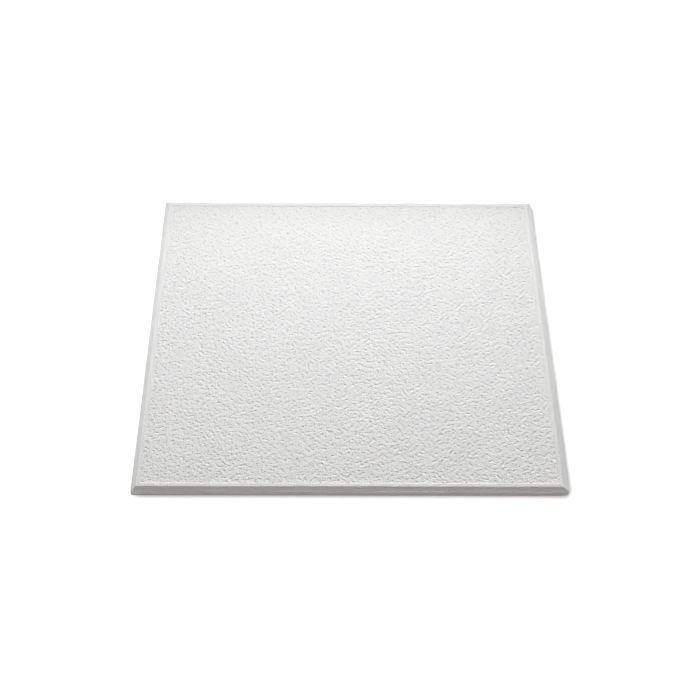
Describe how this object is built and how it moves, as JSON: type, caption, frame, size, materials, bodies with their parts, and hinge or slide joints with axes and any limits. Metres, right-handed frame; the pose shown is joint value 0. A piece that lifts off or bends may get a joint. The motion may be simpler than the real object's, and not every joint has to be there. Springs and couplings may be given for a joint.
{
  "type": "polystyrene ceiling tile",
  "caption": "Square polystyrene ceiling tile with a flat back for gluing, a bevelled edge, a smooth narrow rim and a sunk field of fine stucco relief.",
  "frame": {"origin": "middle of the flat back, which is the lowest face", "axes": "+Z out of the decorated face, +X to the right along the edge nearest the picture's camera, +Y to the far edge"},
  "size_m": [0.5, 0.5, 0.01],
  "materials": {
    "white_polystyrene": "matte moulded foam"
  },
  "bodies": {
    "root": {"tile": "white_polystyrene"}
  },
  "joints": []
}
